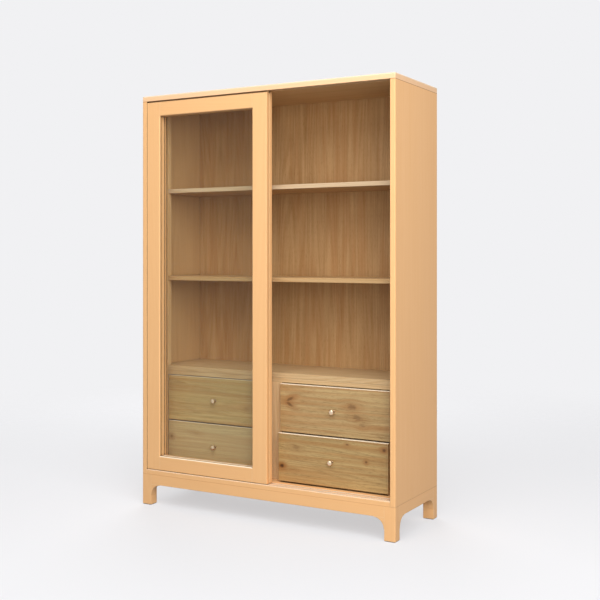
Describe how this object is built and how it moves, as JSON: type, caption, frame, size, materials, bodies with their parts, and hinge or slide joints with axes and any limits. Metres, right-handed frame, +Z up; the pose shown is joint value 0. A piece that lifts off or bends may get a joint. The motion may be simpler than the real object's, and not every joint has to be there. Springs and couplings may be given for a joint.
{
  "type": "bookcase with sliding glass doors",
  "caption": "Tall wooden bookcase on short bracketed legs, with by-passing sliding glass doors, open shelves and a low chest of drawers inside.",
  "frame": {"origin": "middle of the footprint, on the floor", "axes": "+Z up, -Y the front with the doors, +X to the right seen from the front"},
  "size_m": [1.2, 0.42, 1.77],
  "materials": {
    "lacquered_frame": "satin lacquered solid wood, warm peach, faint grain",
    "shelf_wood": "oiled pale wood with fine lengthwise grain",
    "back_plywood": "veneered plywood with upright grain",
    "drawer_front_wood": "knotty oiled wood with level grain",
    "drawer_box_wood": "plain pale wood",
    "drawer_plywood": "thin plywood",
    "runner_wood": "waxed hardwood strips",
    "clear_glass": "clear float glass with a faint green edge",
    "satin_nickel": "satin nickel plate",
    "nylon_glide": "plain nylon"
  },
  "bodies": {
    "cabinet": {"top_panel": "lacquered_frame", "left_side_panel": "lacquered_frame", "right_side_panel": "lacquered_frame", "bottom_board": "lacquered_frame", "base_front_rail": "lacquered_frame", "base_back_rail": "lacquered_frame", "base_left_rail": "lacquered_frame", "base_right_rail": "lacquered_frame", "front_left_leg": "lacquered_frame", "front_right_leg": "lacquered_frame", "back_left_leg": "lacquered_frame", "back_right_leg": "lacquered_frame", "leg_brackets": "lacquered_frame", "upper_shelf": "shelf_wood", "middle_shelf": "shelf_wood", "chest_top_board": "shelf_wood", "chest_top_rail": "shelf_wood", "left_inner_post": "shelf_wood", "right_inner_post": "shelf_wood", "centre_post": "shelf_wood", "centre_partitions": "shelf_wood", "outer_partitions": "shelf_wood", "back_panel": "back_plywood", "drawer_runners": "runner_wood", "drawer_kickers": "runner_wood"},
    "front_door": {"front_door_left_stile": "lacquered_frame", "front_door_right_stile": "lacquered_frame", "front_door_top_rail": "lacquered_frame", "front_door_bottom_rail": "lacquered_frame", "front_door_glass": "clear_glass", "front_door_beads": "lacquered_frame", "front_door_glides": "nylon_glide"},
    "rear_door": {"rear_door_left_stile": "lacquered_frame", "rear_door_right_stile": "lacquered_frame", "rear_door_top_rail": "lacquered_frame", "rear_door_bottom_rail": "lacquered_frame", "rear_door_glass": "clear_glass", "rear_door_beads": "lacquered_frame", "rear_door_glides": "nylon_glide"},
    "upper_left_drawer": {"upper_left_drawer_front": "drawer_front_wood", "upper_left_drawer_box_sides": "drawer_box_wood", "upper_left_drawer_box_back": "drawer_box_wood", "upper_left_drawer_box_bottom": "drawer_plywood", "upper_left_drawer_knob": "satin_nickel"},
    "upper_right_drawer": {"upper_right_drawer_front": "drawer_front_wood", "upper_right_drawer_box_sides": "drawer_box_wood", "upper_right_drawer_box_back": "drawer_box_wood", "upper_right_drawer_box_bottom": "drawer_plywood", "upper_right_drawer_knob": "satin_nickel"},
    "lower_left_drawer": {"lower_left_drawer_front": "drawer_front_wood", "lower_left_drawer_box_sides": "drawer_box_wood", "lower_left_drawer_box_back": "drawer_box_wood", "lower_left_drawer_box_bottom": "drawer_plywood", "lower_left_drawer_knob": "satin_nickel"},
    "lower_right_drawer": {"lower_right_drawer_front": "drawer_front_wood", "lower_right_drawer_box_sides": "drawer_box_wood", "lower_right_drawer_box_back": "drawer_box_wood", "lower_right_drawer_box_bottom": "drawer_plywood", "lower_right_drawer_knob": "satin_nickel"}
  },
  "joints": [
    {"name": "front_door_slide", "type": "slide", "parent": "cabinet", "child": "front_door", "axis": [1, 0, 0], "range_m": [0, 0.545]},
    {"name": "rear_door_slide", "type": "slide", "parent": "cabinet", "child": "rear_door", "axis": [1, 0, 0], "range_m": [0, 0.545]},
    {"name": "upper_right_drawer_slide", "type": "slide", "parent": "cabinet", "child": "upper_right_drawer", "axis": [0, 1, 0], "range_m": [-0.22, 0.02]},
    {"name": "lower_right_drawer_slide", "type": "slide", "parent": "cabinet", "child": "lower_right_drawer", "axis": [0, 1, 0], "range_m": [-0.206, 0.034]},
    {"name": "upper_left_drawer_slide", "type": "slide", "parent": "cabinet", "child": "upper_left_drawer", "axis": [0, -1, 0], "range_m": [0, 0.034]},
    {"name": "lower_left_drawer_slide", "type": "slide", "parent": "cabinet", "child": "lower_left_drawer", "axis": [0, -1, 0], "range_m": [0, 0.034]}
  ]
}
